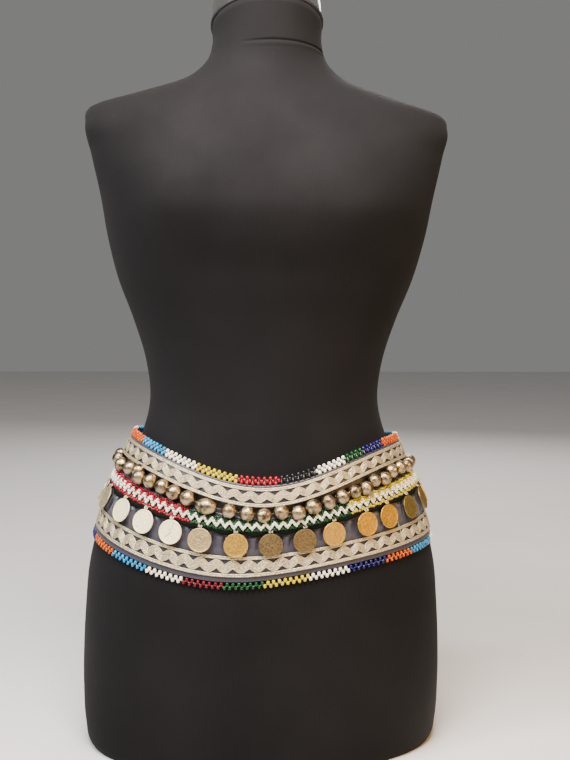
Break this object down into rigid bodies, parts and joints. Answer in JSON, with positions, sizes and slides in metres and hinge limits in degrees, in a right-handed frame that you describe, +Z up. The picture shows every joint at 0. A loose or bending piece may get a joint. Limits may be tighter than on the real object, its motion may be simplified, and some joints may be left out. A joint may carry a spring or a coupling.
{
  "type": "belly dance hip belt on a dress form",
  "caption": "A satin hip belt edged with beads, with braid, a row of bells and hanging coins, worn low on a black limbless dress form with a metal neck cap.",
  "frame": {"origin": "the middle of the flat base of the dress form, on the surface that it stands on", "axes": "+Z up, -Y towards the front of the form, +X towards the wearer's left hip"},
  "size_m": [0.3426, 0.244, 0.7162],
  "materials": {
    "jersey": "matte",
    "rubber": "matte",
    "chrome": "polished",
    "satin": "satin",
    "braid": "metallic",
    "bell": "polished",
    "beads": "gloss",
    "thread": "matte",
    "coin_silver": "worn",
    "coin_gold": "worn",
    "coin_bronze": "worn",
    "hook": "satin"
  },
  "bodies": {
    "root": {"bead_band": "beads", "bead_edge_bottom": "beads", "bead_edge_top": "beads", "bell_row": "bell", "belt_cloth": "satin", "braid_lower_cord_a": "braid", "braid_lower_cord_b": "braid", "braid_lower_wave": "braid", "braid_upper_cord_a": "braid", "braid_upper_cord_b": "braid", "braid_upper_wave": "braid", "coin_thread": "thread", "form_body": "jersey", "hook_1": "hook", "hook_2": "hook", "hook_3": "hook", "neck_cap": "chrome", "neck_gasket": "rubber"},
    "coin_01_swing": {"coin_01": "coin_gold"},
    "coin_02_swing": {"coin_02": "coin_gold"},
    "coin_03_swing": {"coin_03": "coin_gold"},
    "coin_04_swing": {"coin_04": "coin_gold"},
    "coin_05_swing": {"coin_05": "coin_silver"},
    "coin_06_swing": {"coin_06": "coin_silver"},
    "coin_07_swing": {"coin_07": "coin_silver"},
    "coin_08_swing": {"coin_08": "coin_silver"},
    "coin_09_swing": {"coin_09": "coin_silver"},
    "coin_10_swing": {"coin_10": "coin_silver"},
    "coin_11_swing": {"coin_11": "coin_silver"},
    "coin_12_swing": {"coin_12": "coin_bronze"},
    "coin_13_swing": {"coin_13": "coin_gold"},
    "coin_14_swing": {"coin_14": "coin_bronze"},
    "coin_15_swing": {"coin_15": "coin_bronze"},
    "coin_16_swing": {"coin_16": "coin_gold"},
    "coin_17_swing": {"coin_17": "coin_gold"},
    "coin_18_swing": {"coin_18": "coin_gold"},
    "coin_19_swing": {"coin_19": "coin_bronze"},
    "coin_20_swing": {"coin_20": "coin_bronze"},
    "coin_21_swing": {"coin_21": "coin_gold"},
    "coin_22_swing": {"coin_22": "coin_gold"},
    "coin_23_swing": {"coin_23": "coin_gold"},
    "coin_24_swing": {"coin_24": "coin_silver"},
    "coin_25_swing": {"coin_25": "coin_gold"},
    "coin_26_swing": {"coin_26": "coin_bronze"},
    "coin_27_swing": {"coin_27": "coin_gold"},
    "coin_28_swing": {"coin_28": "coin_gold"}
  },
  "joints": [
    {"name": "swing_01", "type": "hinge", "parent": "root", "child": "coin_01_swing", "pos_m": [-0.02096, 0.11077, 0.22268], "axis": [0.9956, 0.0927, -0.0166], "range_deg": [0, 110]},
    {"name": "swing_02", "type": "hinge", "parent": "root", "child": "coin_02_swing", "pos_m": [-0.04989, 0.10533, 0.22622], "axis": [0.972, 0.2304, -0.046], "range_deg": [0, 110]},
    {"name": "swing_03", "type": "hinge", "parent": "root", "child": "coin_03_swing", "pos_m": [-0.07737, 0.09518, 0.23178], "axis": [0.921, 0.3816, -0.078], "range_deg": [0, 110]},
    {"name": "swing_04", "type": "hinge", "parent": "root", "child": "coin_04_swing", "pos_m": [-0.10259, 0.08021, 0.23806], "axis": [0.8282, 0.5511, -0.1022], "range_deg": [0, 110]},
    {"name": "swing_05", "type": "hinge", "parent": "root", "child": "coin_05_swing", "pos_m": [-0.12438, 0.06012, 0.24369], "axis": [0.6676, 0.7376, -0.1008], "range_deg": [0, 110]},
    {"name": "swing_06", "type": "hinge", "parent": "root", "child": "coin_06_swing", "pos_m": [-0.14042, 0.03465, 0.24745], "axis": [0.4025, 0.9132, -0.0643], "range_deg": [0, 110]},
    {"name": "swing_07", "type": "hinge", "parent": "root", "child": "coin_07_swing", "pos_m": [-0.14751, 0.00517, 0.24835], "axis": [0.0528, 0.9986, -0.0064], "range_deg": [0, 110]},
    {"name": "swing_08", "type": "hinge", "parent": "root", "child": "coin_08_swing", "pos_m": [-0.1455, -0.02489, 0.24605], "axis": [-0.2577, 0.9658, 0.0287], "range_deg": [0, 110]},
    {"name": "swing_09", "type": "hinge", "parent": "root", "child": "coin_09_swing", "pos_m": [-0.13226, -0.05675, 0.23992], "axis": [-0.5969, 0.8007, 0.0512], "range_deg": [0, 110]},
    {"name": "swing_10", "type": "hinge", "parent": "root", "child": "coin_10_swing", "pos_m": [-0.1146, -0.07725, 0.23355], "axis": [-0.7829, 0.6207, 0.0417], "range_deg": [0, 110]},
    {"name": "swing_11", "type": "hinge", "parent": "root", "child": "coin_11_swing", "pos_m": [-0.09242, -0.09284, 0.22692], "axis": [-0.8955, 0.4446, 0.0212], "range_deg": [0, 110]},
    {"name": "swing_12", "type": "hinge", "parent": "root", "child": "coin_12_swing", "pos_m": [-0.06822, -0.10338, 0.22131], "axis": [-0.9548, 0.2971, 0.0035], "range_deg": [0, 110]},
    {"name": "swing_13", "type": "hinge", "parent": "root", "child": "coin_13_swing", "pos_m": [-0.03759, -0.11074, 0.21725], "axis": [-0.9888, 0.1489, -0.007], "range_deg": [0, 110]},
    {"name": "swing_14", "type": "hinge", "parent": "root", "child": "coin_14_swing", "pos_m": [-0.00731, -0.11332, 0.21715], "axis": [-0.9998, 0.0206, -0.0041], "range_deg": [0, 110]},
    {"name": "swing_15", "type": "hinge", "parent": "root", "child": "coin_15_swing", "pos_m": [0.02304, -0.11227, 0.22056], "axis": [-0.9956, -0.0937, 0.0058], "range_deg": [0, 110]},
    {"name": "swing_16", "type": "hinge", "parent": "root", "child": "coin_16_swing", "pos_m": [0.04956, -0.10801, 0.22533], "axis": [-0.9772, -0.212, 0.0087], "range_deg": [0, 110]},
    {"name": "swing_17", "type": "hinge", "parent": "root", "child": "coin_17_swing", "pos_m": [0.08069, -0.09774, 0.23181], "axis": [-0.9244, -0.3815, -0.0031], "range_deg": [0, 110]},
    {"name": "swing_18", "type": "hinge", "parent": "root", "child": "coin_18_swing", "pos_m": [0.10224, -0.0859, 0.23634], "axis": [-0.8477, -0.5301, -0.0206], "range_deg": [0, 110]},
    {"name": "swing_19", "type": "hinge", "parent": "root", "child": "coin_19_swing", "pos_m": [0.12502, -0.06621, 0.24093], "axis": [-0.6854, -0.7271, -0.0387], "range_deg": [0, 110]},
    {"name": "swing_20", "type": "hinge", "parent": "root", "child": "coin_20_swing", "pos_m": [0.1427, -0.03874, 0.24408], "axis": [-0.4067, -0.9129, -0.0336], "range_deg": [0, 110]},
    {"name": "swing_21", "type": "hinge", "parent": "root", "child": "coin_21_swing", "pos_m": [0.15021, -0.00944, 0.24487], "axis": [-0.0895, -0.996, -0.0072], "range_deg": [0, 110]},
    {"name": "swing_22", "type": "hinge", "parent": "root", "child": "coin_22_swing", "pos_m": [0.14875, 0.02076, 0.24359], "axis": [0.2297, -0.9728, 0.0312], "range_deg": [0, 110]},
    {"name": "swing_23", "type": "hinge", "parent": "root", "child": "coin_23_swing", "pos_m": [0.13734, 0.04871, 0.24058], "axis": [0.5432, -0.8364, 0.0728], "range_deg": [0, 110]},
    {"name": "swing_24", "type": "hinge", "parent": "root", "child": "coin_24_swing", "pos_m": [0.11805, 0.07165, 0.2364], "axis": [0.7532, -0.6518, 0.0881], "range_deg": [0, 110]},
    {"name": "swing_25", "type": "hinge", "parent": "root", "child": "coin_25_swing", "pos_m": [0.09398, 0.08907, 0.23168], "axis": [0.8785, -0.4712, 0.0789], "range_deg": [0, 110]},
    {"name": "swing_26", "type": "hinge", "parent": "root", "child": "coin_26_swing", "pos_m": [0.06707, 0.10135, 0.22713], "axis": [0.9497, -0.308, 0.0575], "range_deg": [0, 110]},
    {"name": "swing_27", "type": "hinge", "parent": "root", "child": "coin_27_swing", "pos_m": [0.0385, 0.10885, 0.22358], "axis": [0.9864, -0.1607, 0.0336], "range_deg": [0, 110]},
    {"name": "swing_28", "type": "hinge", "parent": "root", "child": "coin_28_swing", "pos_m": [0.0091, 0.11186, 0.22185], "axis": [0.9996, -0.0279, 0.0103], "range_deg": [0, 110]}
  ]
}
